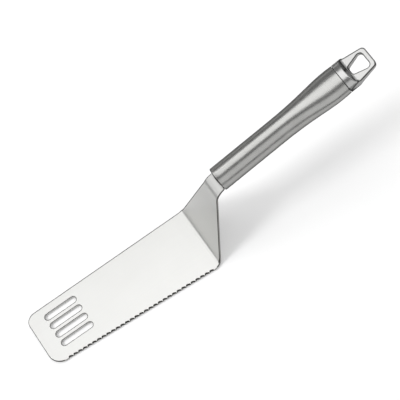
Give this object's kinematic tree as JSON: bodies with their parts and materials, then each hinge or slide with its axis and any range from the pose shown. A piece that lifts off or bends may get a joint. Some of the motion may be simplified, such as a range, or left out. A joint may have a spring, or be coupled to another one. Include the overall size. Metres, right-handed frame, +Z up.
{
  "type": "perforated spatula",
  "caption": "Cranked steel serving spatula with drain slots, one straight and one serrated edge, and a hollow handle that ends in a hanging loop.",
  "frame": {"origin": "on the blade's underside, halfway along the flat blade, on the mid-plane of the handle", "axes": "+X from the blade's tip towards the handle, +Y towards the straight edge, +Z up from the blade"},
  "size_m": [0.3195, 0.058, 0.0825],
  "materials": {
    "satin_sheet": "satin polished sheet",
    "brushed_tube": "brushed along the handle",
    "plain_plug": "turned",
    "weld_bead": "as welded",
    "polished_casting": "polished casting"
  },
  "bodies": {
    "root": {"blade": "satin_sheet", "handle_tube": "brushed_tube", "front_plug": "plain_plug", "tang_weld_upper": "weld_bead", "tang_weld_lower": "weld_bead", "end_cap": "polished_casting"}
  },
  "joints": []
}
